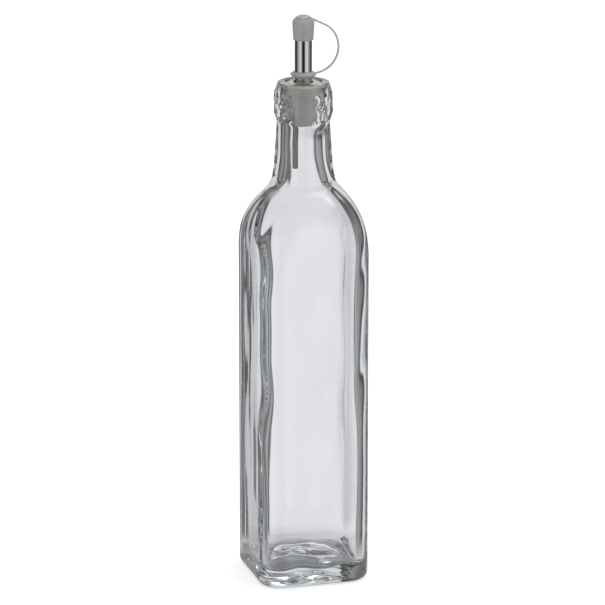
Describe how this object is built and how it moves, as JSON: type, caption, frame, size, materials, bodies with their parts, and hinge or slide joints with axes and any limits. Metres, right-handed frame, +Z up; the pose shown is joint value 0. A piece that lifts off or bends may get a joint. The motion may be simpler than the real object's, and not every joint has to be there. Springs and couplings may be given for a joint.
{
  "type": "oil and vinegar bottle",
  "caption": "Square clear glass bottle for oil or vinegar, empty, with a steel pouring spout and an air tube in a soft stopper and a grey cap on a tether",
  "frame": {"origin": "centre of the bottle's foot, on the surface it stands on", "axes": "+Z up along the bottle, -Y out of the front panel, +X towards the loop of the cap's tether"},
  "size_m": [0.06, 0.06, 0.3011],
  "materials": {
    "clear_glass": "clear, polished",
    "natural_polythene": "translucent, satin",
    "stainless_steel": "polished along the tube",
    "grey_silicone": "soft satin, slightly translucent"
  },
  "bodies": {
    "root": {"glass_bottle": "clear_glass", "stopper": "natural_polythene", "pour_spout": "stainless_steel", "air_tube": "stainless_steel", "tether_cap": "grey_silicone"}
  },
  "joints": []
}
